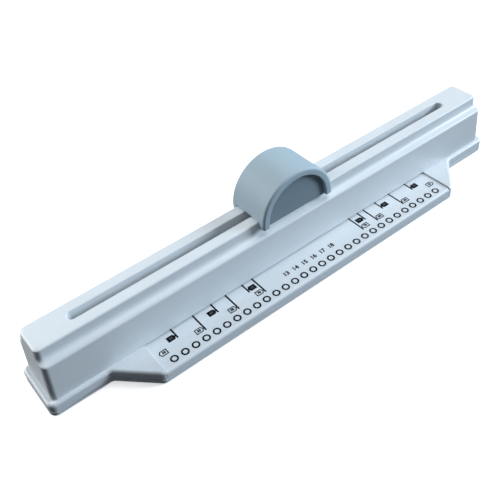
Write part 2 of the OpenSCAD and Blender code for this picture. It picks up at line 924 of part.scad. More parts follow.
// Grey knob: a half cylinder whose skirts reach down past the deck
module knob_shell() {
  over_z = deck_z + knob_gap;
  straddle = deck_d + 2 * knob_side_gap;
  face_d = knob_recess + panel_t;
  hollow_d = knob_d - 2 * face_d - 2 * panel_t;
  color("slategray")
    translate([knob_x, axis_y, 0])
      difference() {
        translate([0, 0, knob_z])
          arch(knob_r, knob_d, knob_foot);
        for (sy = [-1, 1])
          translate([0, sy * (knob_d - face_d + cut) / 2, knob_z])
            arch(knob_r - knob_rim, face_d + cut, knob_foot + cut);
        translate([-knob_r - cut, -straddle / 2, knob_foot_z - cut])
          cube([2 * (knob_r + cut), straddle, over_z - knob_foot_z + cut]);
        difference() {
          translate([0, 0, knob_z])
            arch(knob_r - knob_wall, hollow_d, 0);
          translate([-stem_l / 2 - boss_wall, -stem_half - boss_wall, knob_z - cut])
            cube([stem_l + 2 * boss_wall, 2 * (stem_half + boss_wall), knob_r]);
        }
        translate([-stem_l / 2 - panel_gap, -stem_half - panel_gap, over_z - cut])
          cube([stem_l + 2 * panel_gap, 2 * (stem_half + panel_gap), stem_z - over_z + panel_gap + cut]);
        for (sx = [-1, 1])
          translate([sx * knob_screw_x, 0, over_z])
            cylinder(d = screw_d + 2 * press_gap, h = knob_screw_l + shoulder_seat_z - over_z);
      }
}

// Plate in the recess of the knob's front or rear face; side is -1 or 1
module knob_panel(side) {
  color("lightslategray")
    translate([knob_x, axis_y + side * (knob_d / 2 - knob_recess - panel_t / 2), knob_z])
      arch(knob_r - knob_rim - panel_gap, panel_t, knob_foot);
}

module knob_screws() {
  color("silver")
    for (sx = [-1, 1])
      translate([knob_x + sx * knob_screw_x, axis_y, shoulder_seat_z])
        screw(knob_screw_l - screw_end / 2);
}

// Steel pin with a collar for its spring, a bevelled head and a notched cutting tip
module punch(i) {
  r = punch_d / 2;
  color("silver")
    translate([punch_x(i), axis_y, 0])
      difference() {
        rotate_extrude()
          polygon([
            [0, tip_z],
            [r, tip_z],
            [r, collar_z],
            [collar_d / 2, collar_z],
            [collar_d / 2, collar_z + collar_t],
            [r, collar_z + collar_t],
            [r, head_z - head_bevel],
            [r - head_bevel, head_z],
            [0, head_z]
          ]);
        translate([0, r + cut, tip_z])
          rotate([90, 0, 0])
            linear_extrude(punch_d + 2 * cut)
              polygon([[-r / 2, -cut / 2], [r / 2, -cut / 2], [0, notch_h]]);
      }
}

// One spring round each punch, from the channel's web up to the collar
module return_springs() {
  color("gray")
    for (i = [1:holes])
      translate([punch_x(i), axis_y, web_z + steel_t])
        difference() {
          cylinder(d = spring_d, h = collar_z - web_z - steel_t);
          translate([0, 0, -cut])
            cylinder(d = spring_d - 2 * spring_wire, h = collar_z - web_z - steel_t + 2 * cut);
        }
}

top_cover();
base_shell();
scale_plate();
chip_door();
door_hinge_pins();
die_plate();
throat_spacer();
punch_channel();
upper_guide();
guide_rivets();
channel_bracket(-1);  // left_channel_bracket
channel_bracket(1);  // right_channel_bracket
end_bumpers();
bracket_screws();
carriage();
cam_shoe();
axle(-1);  // left_axle
wheels(-1);  // left_wheels
axle(1);  // right_axle
wheels(1);  // right_wheels
knob_shell();
knob_panel(-1);  // knob_front_panel
knob_panel(1);  // knob_rear_panel
knob_screws();
return_springs();
case_screws();
frame_screws();
rubber_feet();
for (i = [1:holes])
  punch(i);
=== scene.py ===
import json
import math

import bmesh
import bpy
from mathutils import Euler, Matrix, Vector


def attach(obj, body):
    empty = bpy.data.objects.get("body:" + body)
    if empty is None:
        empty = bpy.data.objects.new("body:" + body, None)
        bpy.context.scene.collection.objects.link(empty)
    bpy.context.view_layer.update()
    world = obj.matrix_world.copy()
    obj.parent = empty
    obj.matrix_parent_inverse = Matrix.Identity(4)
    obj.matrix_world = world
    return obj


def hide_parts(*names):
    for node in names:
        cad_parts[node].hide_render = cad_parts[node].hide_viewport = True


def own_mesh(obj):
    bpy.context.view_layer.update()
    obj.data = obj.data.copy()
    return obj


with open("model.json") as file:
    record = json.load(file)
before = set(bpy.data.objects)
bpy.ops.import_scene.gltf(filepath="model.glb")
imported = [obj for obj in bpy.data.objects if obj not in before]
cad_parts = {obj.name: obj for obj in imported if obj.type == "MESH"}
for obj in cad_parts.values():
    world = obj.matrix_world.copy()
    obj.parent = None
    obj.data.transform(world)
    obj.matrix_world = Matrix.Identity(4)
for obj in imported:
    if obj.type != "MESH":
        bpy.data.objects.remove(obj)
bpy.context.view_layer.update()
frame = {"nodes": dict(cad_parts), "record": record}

metre = 0.001  # every size below is in millimetres, and a piece is scaled by this when it is finished
axisY = 13.8  # the line of the punches, seen from above

print("frame loaded")


# Shader sums

class Wire:
    # a socket that can be used in sums, and that adds the nodes it needs

    def __init__(self, tree, socket=None):
        self.tree = tree
        self.socket = socket

    def node(self, kind, settings=None, inputs=None, output=0):
        made = self.tree.nodes.new(kind)
        for key, value in (settings or {}).items():
            if key == "stops":
                self.setStops(made.color_ramp, value)
            else:
                setattr(made, key, value)
        for key, value in (inputs or {}).items():
            self.feed(made.inputs[key], value)
        return Wire(self.tree, made.outputs[output])

    def feed(self, target, value):
        if isinstance(value, Wire):
            self.tree.links.new(value.socket, target)
        else:
            target.default_value = value

    def setStops(self, ramp, stops):
        while len(ramp.elements) < len(stops):
            ramp.elements.new(0.5)
        for element, (place, level) in zip(ramp.elements, stops):
            element.position = place
            element.color = (level, level, level, 1)

    def sum(self, operation, first, second):
        return self.node("ShaderNodeMath", {"operation": operation}, {0: first, 1: second})

    def __add__(self, other):
        return self.sum("ADD", self, other)

    def __radd__(self, other):
        return self.sum("ADD", other, self)

    def __sub__(self, other):
        return self.sum("SUBTRACT", self, other)

    def __rsub__(self, other):
        return self.sum("SUBTRACT", other, self)

    def __mul__(self, other):
        return self.sum("MULTIPLY", self, other)

    def __rmul__(self, other):
        return self.sum("MULTIPLY", other, self)


def startFinish(name):
    material = bpy.data.materials.new(name)
    material.use_nodes = True
    tree = material.node_tree
    shader = tree.nodes["Principled BSDF"]
    start = Wire(tree)
    place = start.node("ShaderNodeTexCoord", output="Object")
    return material, shader, place


def stretched(place, stretch):
    return place.node("ShaderNodeMapping", {"vector_type": "POINT"}, {"Vector": place, "Scale": stretch})


def noise(place, scale, detail=3, roughness=0.55):
    settings = {"noise_dimensions": "3D"}
    return place.node("ShaderNodeTexNoise", settings,
                      {"Vector": place, "Scale": scale, "Detail": detail, "Roughness": roughness})


# In a Mix node 0 is the factor and 6 and 7 are the colours; output 2 is the blended colour
def blendColours(mask, first, second):
    settings = {"data_type": "RGBA", "blend_type": "MIX"}
    return mask.node("ShaderNodeMix", settings, {0: mask, 6: (*first, 1), 7: (*second, 1)}, output=2)


def contrast(value, low, high):
    return value.node("ShaderNodeValToRGB", {"stops": [(low, 0), (high, 1)]}, {0: value})


def relief(height, strength, distance):
    return height.node("ShaderNodeBump", None,
                       {"Height": height, "Strength": strength, "Distance": distance * metre})


def connect(shader, inputs):
    for key, wire in inputs.items():
        wire.feed(shader.inputs[key], wire)


# Moulded plastic: a slow drift of tone, faint marbling from the melt, and the grain of the mould
def plastic(name, colour, shade, roughness, grain, sheen=0.5):
    material, shader, place = startFinish(name)
    drift = noise(place, 18, detail=2)
    marbling = noise(stretched(place, (1, 3, 2)), 160, detail=4)
    tone = contrast(drift * 0.6 + marbling * 0.4, 0.36, 0.66)
    fine = noise(place, 2600, detail=2, roughness=0.5)
    rubbed = contrast(noise(place, 55, detail=5, roughness=0.7), 0.52, 0.74)
    connect(shader, {"Base Color": blendColours(tone, shade, colour),
                     "Roughness": roughness + (tone - 0.5) * 0.05 - rubbed * 0.07,
                     "Normal": relief(fine + marbling * 0.6, grain, 0.06)})
    shader.inputs["Specular IOR Level"].default_value = sheen
    return material


# Steel: streaks along the direction that it was rolled, ground or turned in, over a cloudy plating
def steel(name, colour, shade, roughness, streaks, strength):
    material, shader, place = startFinish(name)
    lines = noise(stretched(place, streaks), 420, detail=5, roughness=0.65)
    cloud = noise(place, 70, detail=3)
    tone = contrast(lines * 0.55 + cloud * 0.45, 0.34, 0.68)
    connect(shader, {"Base Color": blendColours(tone, shade, colour),
                     "Roughness": roughness + (cloud - 0.5) * 0.16 + (lines - 0.5) * 0.12,
                     "Normal": relief(lines, strength, 0.03)})
    shader.inputs["Metallic"].default_value = 1
    return material


def rubber(name, colour, shade):
    material, shader, place = startFinish(name)
    pits = noise(place, 900, detail=4, roughness=0.7)
    dust = contrast(noise(place, 60, detail=5), 0.5, 0.78)
    connect(shader, {"Base Color": blendColours(dust, colour, shade), "Roughness": 0.74 + dust * 0.12,
                     "Normal": relief(pits, 0.35, 0.12)})
    return material


# Screen ink: nearly flat, a little thin where the mesh of the screen lay
def ink(name, colour, shade):
    material, shader, place = startFinish(name)
    mesh = noise(place, 1500, detail=2)
    thin = contrast(noise(place, 260, detail=4) * 0.7 + mesh * 0.3, 0.48, 0.8)
    connect(shader, {"Base Color": blendColours(thin, colour, shade), "Roughness": 0.62 + thin * 0.1,
                     "Normal": relief(mesh, 0.12, 0.02)})
    shader.inputs["Specular IOR Level"].default_value = 0.12
    return material


finishes = {
    "casing_white": plastic("CasingWhite", (0.765, 0.815, 0.85), (0.73, 0.78, 0.82), 0.36, 0.16),
    "table_white": plastic("TableWhite", (0.79, 0.84, 0.88), (0.755, 0.81, 0.85), 0.4, 0.14),
    "door_grey": plastic("DoorGrey", (0.60, 0.64, 0.67), (0.55, 0.59, 0.62), 0.5, 0.3),
    "knob_grey": plastic("KnobGrey", (0.42, 0.53, 0.60), (0.39, 0.50, 0.57), 0.62, 0.34, 0.3),
    "knob_face_grey": plastic("KnobFaceGrey", (0.235, 0.30, 0.35), (0.215, 0.28, 0.33), 0.6, 0.4, 0.35),
    "carriage_black": plastic("CarriageBlack", (0.045, 0.05, 0.055), (0.03, 0.034, 0.038), 0.38, 0.25),
    "wheel_white": plastic("WheelWhite", (0.80, 0.80, 0.77), (0.72, 0.72, 0.69), 0.42, 0.2),
    "plated_steel": steel("PlatedSteel", (0.66, 0.67, 0.68), (0.52, 0.54, 0.56), 0.36, (0.06, 1, 1), 0.3),
    "ground_steel": steel("GroundSteel", (0.68, 0.69, 0.70), (0.55, 0.56, 0.58), 0.26, (0.04, 1, 1), 0.45),
    "punch_steel": steel("PunchSteel", (0.66, 0.67, 0.69), (0.5, 0.52, 0.54), 0.22, (0.2, 0.2, 5), 0.3),
    "bright_steel": steel("BrightSteel", (0.74, 0.74, 0.75), (0.6, 0.61, 0.62), 0.2, (0.1, 1, 1), 0.2),
    "spring_steel": steel("SpringSteel", (0.52, 0.53, 0.55), (0.38, 0.39, 0.41), 0.34, (1, 1, 1), 0.3),
    "screw_steel": steel("ScrewSteel", (0.6, 0.6, 0.61), (0.44, 0.45, 0.46), 0.3, (1, 1, 0.3), 0.35),
    "black_rubber": rubber("BlackRubber", (0.03, 0.03, 0.033), (0.085, 0.085, 0.09)),
}
blackInk = ink("BlackInk", (0.003, 0.005, 0.009), (0.010, 0.014, 0.021))
greyInk = ink("GreyInk", (0.12, 0.13, 0.15), (0.09, 0.10, 0.12))

slotOf = {part["node"]: part["material_slot"] for part in frame["record"]["subparts"]}
for nodeName, cadObject in frame["nodes"].items():
    cadObject.data.materials.clear()
    cadObject.data.materials.append(finishes[slotOf[nodeName]])
print("finishes made:", len(finishes) + 2)


# Tools for the pieces

def onlyVerts(geom):
    return [element for element in geom if isinstance(element, bmesh.types.BMVert)]


def drawOut(bm, faces, shift):
    moved = bmesh.ops.extrude_face_region(bm, geom=faces)["geom"]
    bmesh.ops.translate(bm, vec=shift, verts=onlyVerts(moved))


# The angles of a quarter turn, for a rounded edge
def quarterTurn(steps=6):
    return [math.radians(90 * step / steps) for step in range(steps + 1)]


# A path whose corners are softened; each point is (length, depth, corner radius, height, softening)
def softPath(points, steps=5):
    soft = []
    for index, point in enumerate(points):
        here, reach = Vector(point[:4]), point[4]
        if reach == 0 or index in (0, len(points) - 1):
            soft.append(tuple(here))
            continue
        before, after = Vector(points[index - 1][:4]), Vector(points[index + 1][:4])
        spanBefore = math.hypot((before - here)[1], (before - here)[3])
        spanAfter = math.hypot((after - here)[1], (after - here)[3])
        start = here.lerp(before, min(0.5, reach / spanBefore))
        end = here.lerp(after, min(0.5, reach / spanAfter))
        for step in range(steps + 1):
            t = step / steps
            soft.append(tuple(start.lerp(here, t).lerp(here.lerp(end, t), t)))
    return soft


# A closed line through corners (x, y, distance at which the rounding starts, steps), left without a face
def outline(bm, corners, height):
    verts = [bm.verts.new((x, y, height)) for x, y, reach, steps in corners]
    face = bm.faces.new(verts)
    for vert, (x, y, reach, steps) in zip(verts, corners):
        if reach > 0:
            bmesh.ops.bevel(bm, geom=[vert], affect="VERTICES", offset=reach, offset_type="OFFSET",
                            segments=steps, profile=0.5, material=-1, clamp_overlap=False)
    face = max((f for f in bm.faces if all(abs(v.co.z - height) < 1e-6 for v in f.verts)),
               key=lambda f: f.index if f.index >= 0 else len(bm.faces))
    edges = list(face.edges)
    bmesh.ops.delete(bm, geom=[face], context="FACES_ONLY")
    return edges


def roundedRectangle(halfLength, halfDepth, radius, steps=8):
    return [(sx * halfLength, axisY + sy * halfDepth, radius, steps)
            for sx, sy in ((-1, -1), (1, -1), (1, 1), (-1, 1))]


# Skins a row of outlines that have the same number of points; closed joins the last to the first
def loft(bm, rings, closed=False, caps=False):
    for first, second in zip(rings, rings[1:]):
        bmesh.ops.bridge_loops(bm, edges=first + second)
    if closed:
        bmesh.ops.bridge_loops(bm, edges=rings[-1] + rings[0])
    if caps:
        for ring in (rings[0], rings[-1]):
            bmesh.ops.contextual_create(bm, geom=ring)
    bmesh.ops.remove_doubles(bm, verts=bm.verts, dist=1e-4)
    bmesh.ops.recalc_face_normals(bm, faces=bm.faces)


def addBox(bm, low, high):
    size, middle = Vector(high) - Vector(low), (Vector(high) + Vector(low)) / 2
    place = Matrix.Translation(middle) @ Matrix.Diagonal((*size, 1))
    return bmesh.ops.create_cube(bm, size=1, matrix=place)["verts"]


def addPost(bm, x, y, low, high, diameter, segments=40):
    place = Matrix.Translation((x, y, (low + high) / 2))
    return bmesh.ops.create_cone(bm, cap_ends=True, segments=segments, radius1=diameter / 2,
                                 radius2=diameter / 2, depth=high - low, matrix=place)["verts"]


def makeObject(bm, name):
    mesh = bpy.data.meshes.new(name)
    bm.to_mesh(mesh)
    bm.free()
    made = bpy.data.objects.new(name, mesh)
    bpy.context.scene.collection.objects.link(made)
    return made


# Adds or removes the other object, which is used up
def combine(piece, other, operation):
    change = piece.modifiers.new("combine", "BOOLEAN")
    change.operation, change.solver, change.object = operation, "EXACT", other
    graph = bpy.context.evaluated_depsgraph_get()
    result = bpy.data.meshes.new_from_object(piece.evaluated_get(graph))
    piece.modifiers.clear()
    old, piece.data = piece.data, result
    bpy.data.meshes.remove(old)
    spare = other.data
    bpy.data.objects.remove(other)
    bpy.data.meshes.remove(spare)


# Brings a piece to metres, shades it, and hangs it on its body
def finishPiece(piece, body, material, replaced=(), smoothAngle=32, weighted=True):
    piece.data.transform(Matrix.Scale(metre, 4))
    piece.data.materials.clear()
    piece.data.materials.append(material)
    piece.data.shade_smooth()
    piece.data.set_sharp_from_angle(angle=math.radians(smoothAngle))
    if weighted:
        even = piece.modifiers.new("evenNormals", "WEIGHTED_NORMAL")
        even.keep_sharp, even.weight = True, 60
    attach(piece, body)
    if replaced:
        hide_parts(*replaced)
    return piece


def softenEdges(piece, width, segments=3, angle=40):
    edge = piece.modifiers.new("softEdges", "BEVEL")
    edge.width, edge.segments, edge.limit_method = width * metre, segments, "ANGLE"
    edge.angle_limit, edge.use_clamp_overlap, edge.harden_normals = math.radians(angle), True, False
    edge.miter_outer = "MITER_ARC"


# A merged copy of a CAD node, in millimetres, with its flat faces joined up
def copyNode(nodeName):
    bm = bmesh.new()
    bm.from_mesh(frame["nodes"][nodeName].data)
    bmesh.ops.scale(bm, vec=(1 / metre,) * 3, verts=bm.verts)
    bmesh.ops.remove_doubles(bm, verts=bm.verts, dist=1e-3)
    bmesh.ops.dissolve_limit(bm, angle_limit=math.radians(0.6), use_dissolve_boundaries=False,
                             verts=bm.verts, edges=bm.edges, delimit={"NORMAL"})
    return bm


# Top cover

cover = {
    "wall": 2.2,
    "footLength": 227.5, "footRear": 37, "footFront": -9.4, "footCornerReach": 5.5,
    "splitHeight": 5, "splitGap": 0.4, "footHeight": 13.2, "rimRounding": 2.5, "lipChamfer": 0.5,
    "wingFront": -37, "wingCorner": 151.8, "wingRadius": 5, "wingRoot": 179.41, "wingRootReach": 2.2,
    "wallFoot": (223.1, 20.2), "ledgeOut": (220.44, 20.0, 46.7), "ledgeIn": (220.28, 13.7, 48.7),
    "deck": (219.5, 13.7, 58.5), "cornerRadius": 4.5,
    "slot": (188.5, 4.0), "slotLipBottom": 49.2, "slotLipThickness": 1.5, "deckThickness": 2.5,
    "tableHalf": 149, "throatTop": 13.8, "wallSink": 0.9, "cutSpare": 2, "throatSpare": 5, "openingTop": 20,
    "posts": ((210.4, 9.7, 9, 57), (210.4, -9.7, 9, 57)), "postDiameter": 7,
    "wingPost": (158, -18.9, 6.5, 12),
}


# Corners of the foot's outline, drawn in by an inset
def footCorners(inset):
    turn = math.tan(math.radians(22.5))
    rear, front = cover["footRear"] - inset, cover["footFront"] + inset
    end, reach = cover["footLength"] - inset, cover["footCornerReach"] - inset
    rootX, wingX = cover["wingRoot"] - turn * inset, cover["wingCorner"] - turn * inset
    wingY, wingReach = cover["wingFront"] + inset, (cover["wingRadius"] - inset) * turn
    right = [(end, front, reach, 8), (rootX, front, cover["wingRootReach"] + turn * inset, 6),
             (wingX, wingY, wingReach, 6)]
    left = [(-x, y, r, steps) for x, y, r, steps in reversed(right)]
    return [(-end, rear, reach, 8), (end, rear, reach, 8), *right, *left][::-1]


def footBlock(name, rings):
    bm = bmesh.new()
    loft(bm, [outline(bm, footCorners(inset), height) for inset, height in rings], caps=True)
    return makeObject(bm, name)


def makeTopCover():
    wall, split, top = cover["wall"], cover["splitHeight"] + cover["splitGap"], cover["footHeight"]
    rim, lip, spare = cover["rimRounding"], cover["lipChamfer"], cover["cutSpare"]
    rimRings = [(rim - rim * math.cos(a), top - rim + rim * math.sin(a)) for a in quarterTurn()]
    piece = footBlock("TopCover", [(lip, split), (0, split + lip), *rimRings])
    combine(piece, footBlock("hollow", [(wall, split - spare), (wall, top - wall)]), "DIFFERENCE")

    radius, inner = cover["cornerRadius"], cover["cornerRadius"] - wall
    footL, footD = cover["wallFoot"]
    outL, outD, outZ = cover["ledgeOut"]
    inL, inD, inZ = cover["ledgeIn"]
    deckL, deckD, deckZ = cover["deck"]
    slotL, slotD = cover["slot"]
    lipT, lipZ = cover["slotLipThickness"], cover["slotLipBottom"]
    underDeck, wallStart = deckZ - cover["deckThickness"], top - cover["wallSink"]
    path = [
        (footL, footD, radius, wallStart, 0),
        (outL, outD, radius, outZ, 1.6),
        (inL, inD, radius, inZ, 3.1),
        (deckL, deckD, radius, deckZ, 1.5),
        (slotL, slotD, slotD, deckZ, 0.7),
        (slotL, slotD, slotD, lipZ, 0),
        (slotL + lipT, slotD + lipT, slotD + lipT, lipZ, 0),
        (slotL + lipT, slotD + lipT, slotD + lipT, underDeck, 0),
        (deckL - wall, deckD - wall, inner, underDeck, 0),
        (inL - wall, inD - wall, inner, inZ - wall, 0),
        (outL - wall, outD - wall, inner, outZ - wall, 0),
        (footL - wall, footD - wall, inner, wallStart, 0),
    ]
    bm = bmesh.new()
    rings = [outline(bm, roundedRectangle(length, depth, corner), height)
             for length, depth, corner, height in softPath(path)]
    loft(bm, rings, closed=True)
    tower = makeObject(bm, "tower")

    bm = bmesh.new()
    opening = roundedRectangle(footL - wall / 2, footD - wall / 2, radius)
    loft(bm, [outline(bm, opening, z) for z in (0, cover["openingTop"])], caps=True)
    combine(piece, makeObject(bm, "opening"), "DIFFERENCE")
    combine(piece, tower, "UNION")

    bm = bmesh.new()
    half = cover["tableHalf"]
    addBox(bm, (-half, cover["wingFront"] - cover["throatSpare"], split - spare),
           (half, axisY, cover["throatTop"]))
    combine(piece, makeObject(bm, "throat"), "DIFFERENCE")

    bm = bmesh.new()
    bm.from_mesh(piece.data)
    bmesh.ops.holes_fill(bm, edges=[e for e in bm.edges if e.is_boundary], sides=0)
    bmesh.ops.recalc_face_normals(bm, faces=bm.faces)
    for side in (-1, 1):
        for x, y, low, high in cover["posts"]:
            addPost(bm, side * x, axisY + y, low, high, cover["postDiameter"])
        x, y, low, high = cover["wingPost"]
        addPost(bm, side * x, y, low, high, cover["postDiameter"])
    bm.to_mesh(piece.data)
    bm.free()
    return finishPiece(piece, "casing", finishes["casing_white"], ["top_cover"])


topCover = makeTopCover()
print("top cover made:", len(topCover.data.polygons), "faces")


# Scale plate: a profile drawn out along the punch

plate = {"halfLength": 148.7, "front": -37, "rear": -4.05, "top": 12, "thickness": 2,
         "lipBottom": 5.5, "lipThickness": 2.2, "frontRounding": 2.5, "edge": 0.25}


def makeScalePlate():
    front, rear, top = plate["front"], plate["rear"], plate["top"]
    inner = front + plate["lipThickness"]
    profile = [(rear, top), (rear, top - plate["thickness"]), (inner, top - plate["thickness"]),
               (inner, plate["lipBottom"]), (front, plate["lipBottom"]), (front, top)]
    bm = bmesh.new()
    verts = [bm.verts.new((-plate["halfLength"], y, z)) for y, z in profile]
    bm.faces.new(verts)
    bmesh.ops.bevel(bm, geom=[verts[5]], affect="VERTICES", offset=plate["frontRounding"],
                    offset_type="OFFSET", segments=8, profile=0.5, material=-1, clamp_overlap=False)
    drawOut(bm, list(bm.faces), (2 * plate["halfLength"], 0, 0))
    bmesh.ops.recalc_face_normals(bm, faces=bm.faces)
    piece = makeObject(bm, "ScalePlate")
    softenEdges(piece, plate["edge"], segments=2)
    return finishPiece(piece, "casing", finishes["table_white"], ["scale_plate"])


makeScalePlate()
print("scale plate made")


# Print on the plate: rings under the punches, ticks, tags and plain numbers

marks = {
    "thickness": 0.04, "pitch": 9.5, "rings": 30, "ringLine": -30.1, "ringRadius": 2.6, "ringStroke": 1.4,
    "tickTop": -4.4, "tickWidth": 1.4, "shortTick": 11.35, "longTick": 19.3,
    "tagLength": 7.4, "tagHeight": 5.3, "tagStroke": 0.85, "tagPoint": 1.7,
    "shortTicks": (-125, -88, -57.75, 67.25, 88, 125),
    "longTicks": (-105, -74, -47.75, 57.25, 74, 105),
    "blackTags": ((-129.1, -12.9, 1, "20"), (-92.1, -12.9, 1, "40"), (-53.6, -12.9, -1, "60"),
                  (63.1, -12.9, 1, "60"), (92.1, -12.9, -1, "40"), (129.1, -12.9, -1, "20")),
    "openTags": ((-141.3, -20.6, -1, "10"), (-109.2, -20.9, 1, "30"), (-78.2, -20.9, 1, "50"),
                 (-52.0, -20.9, 1, "70"), (61.5, -20.9, -1, "70"), (78.2, -20.9, -1, "50"),
                 (109.2, -20.9, -1, "30"), (141.3, -20.6, 1, "10")),
    "tagDigit": 3.0, "tagBold": 0.24, "blackTagBold": 0.02, "digitShift": 0.5, "letterSteps": 6,
    "middleDigit": 5.6, "middleLine": -19.6, "middleHoles": (13, 14, 15, 16, 17, 18),
    "ringSliver": 0.01, "ringSteps": 40,
}


def addTag(bm, x, y, direction, filled, level):
    half, tall, point = marks["tagLength"] / 2, marks["tagHeight"] / 2, marks["tagPoint"]
    shape = [(-half, -tall), (half - point, -tall), (half, 0), (half - point, tall), (-half, tall)]
    if direction < 0:
        shape = [(-px, py) for px, py in reversed(shape)]
    face = bm.faces.new([bm.verts.new((x + px, y + py, level)) for px, py in shape])
    kept = [face]
    if not filled:
        bm.normal_update()
        kept = bmesh.ops.inset_region(bm, faces=[face], thickness=marks["tagStroke"],
                                      use_even_offset=True, use_boundary=True)["faces"]
        bmesh.ops.delete(bm, geom=[face], context="FACES_ONLY")
    drawOut(bm, kept, (0, 0, marks["thickness"]))


def addNumber(bm, word, x, y, size, level, bold):
    letters = bpy.data.curves.new("number", "FONT")
    letters.body, letters.size, letters.align_x, letters.align_y = word, size, "CENTER", "CENTER"
    letters.extrude, letters.offset = marks["thickness"] / 2, bold
    letters.resolution_u = marks["letterSteps"]
    holder = bpy.data.objects.new("number", letters)
    bpy.context.scene.collection.objects.link(holder)
    bpy.context.view_layer.update()
    mesh = bpy.data.meshes.new_from_object(holder)
    mesh.transform(Matrix.Translation((x, y, level + marks["thickness"] / 2)))
    bm.from_mesh(mesh)
    bpy.data.objects.remove(holder)
    bpy.data.curves.remove(letters)
    bpy.data.meshes.remove(mesh)


def makePrint():
    level, inkTop = plate["top"], plate["top"] + marks["thickness"]
    stroke, sliver, line = marks["ringStroke"], marks["ringSliver"], marks["ringLine"]
    shift, digit, bold = marks["digitShift"], marks["tagDigit"], marks["tagBold"]
    bm = bmesh.new()
    inner = marks["ringRadius"] - stroke / 2
    for number in range(marks["rings"]):
        x = (number - (marks["rings"] - 1) / 2) * marks["pitch"]
        square = addBox(bm, (x + inner, line - sliver, level), (x + inner + stroke, line + sliver, inkTop))
        sides = {f for v in square for f in v.link_faces}
        start = [f for f in sides if f.calc_center_median().y > line and abs(f.normal.y) > 0.9]
        bmesh.ops.delete(bm, geom=[f for f in sides if f not in start], context="FACES")
        geom = start + list(start[0].edges) + list(start[0].verts)
        bmesh.ops.spin(bm, geom=geom, cent=(x, line, level), axis=(0, 0, 1), dvec=(0, 0, 0),
                       angle=math.tau, steps=marks["ringSteps"], use_merge=True, use_duplicate=False)
    half, tickTop = marks["tickWidth"] / 2, marks["tickTop"]
    for ticks, length in ((marks["shortTicks"], marks["shortTick"]), (marks["longTicks"], marks["longTick"])):
        for x in ticks:
            addBox(bm, (x - half, tickTop - length, level), (x + half, tickTop, inkTop))
    for x, y, direction, word in marks["blackTags"]:
        addTag(bm, x, y, direction, True, level)
    for x, y, direction, word in marks["openTags"]:
        addTag(bm, x, y, direction, False, level)
        addNumber(bm, word, x - shift * direction, y, digit, level, bold)
    for hole in marks["middleHoles"]:
        x = (hole - (marks["rings"] + 1) / 2) * marks["pitch"]
        addNumber(bm, str(hole), x, marks["middleLine"], marks["middleDigit"], level, bold)
    bmesh.ops.remove_doubles(bm, verts=bm.verts, dist=1e-4)
    bmesh.ops.recalc_face_normals(bm, faces=bm.faces)
    printed = makeObject(bm, "TablePrint")
    finishPiece(printed, "casing", blackInk, weighted=False)
    bm = bmesh.new()
    for x, y, direction, word in marks["blackTags"]:
        addNumber(bm, word, x - shift * direction, y, digit, inkTop, marks["blackTagBold"])
    bmesh.ops.remove_doubles(bm, verts=bm.verts, dist=1e-4)
    finishPiece(makeObject(bm, "TagNumbers"), "casing", greyInk, weighted=False)
    return printed


tablePrint = makePrint()
print("table print made:", len(tablePrint.data.polygons), "faces")


# Knob: a half round turned about its own axis, with a recessed face at front and rear

knob = {"x": 2.7, "axisHeight": 56, "foot": 2.7, "radius": 35, "depth": 40, "rim": 6, "recess": 3,
        "panelThickness": 2, "panelGap": 0.2, "rimOuterSoft": 2.4, "rimInnerSoft": 0.7, "turnSteps": 72,
        "straddle": 28.6, "deckGap": 0.8, "deckHeight": 58.5, "stem": (40.4, 7.7, 74.2), "edge": 0.35,
        "softSteps": 6, "panelSoft": (0.2, 0.5), "cutSpare": 1}


# The profile is a row of (y from the middle, radius, softening); it is spun over half a turn and given a foot
def halfRound(name, profile, foot):
    middle, axisHeight = knob["x"], knob["axisHeight"]
    path = softPath([(0, y, 0, r, soft) for y, r, soft in profile], knob["softSteps"])
    bm = bmesh.new()
    verts = [bm.verts.new((middle - r, axisY + y, axisHeight)) for _, y, _, r in path]
    edges = [bm.edges.new(pair) for pair in zip(verts, verts[1:])]
    bmesh.ops.spin(bm, geom=verts + edges, cent=(middle, 0, axisHeight), axis=(0, 1, 0), dvec=(0, 0, 0),
                   angle=math.pi, steps=knob["turnSteps"], use_merge=False, use_duplicate=False)
    bmesh.ops.remove_doubles(bm, verts=bm.verts, dist=1e-4)
    bottom = bmesh.ops.contextual_create(bm, geom=[e for e in bm.edges if e.is_boundary])["faces"]
    drawOut(bm, bottom, (0, 0, -foot))
    bmesh.ops.recalc_face_normals(bm, faces=bm.faces)
    return makeObject(bm, name)


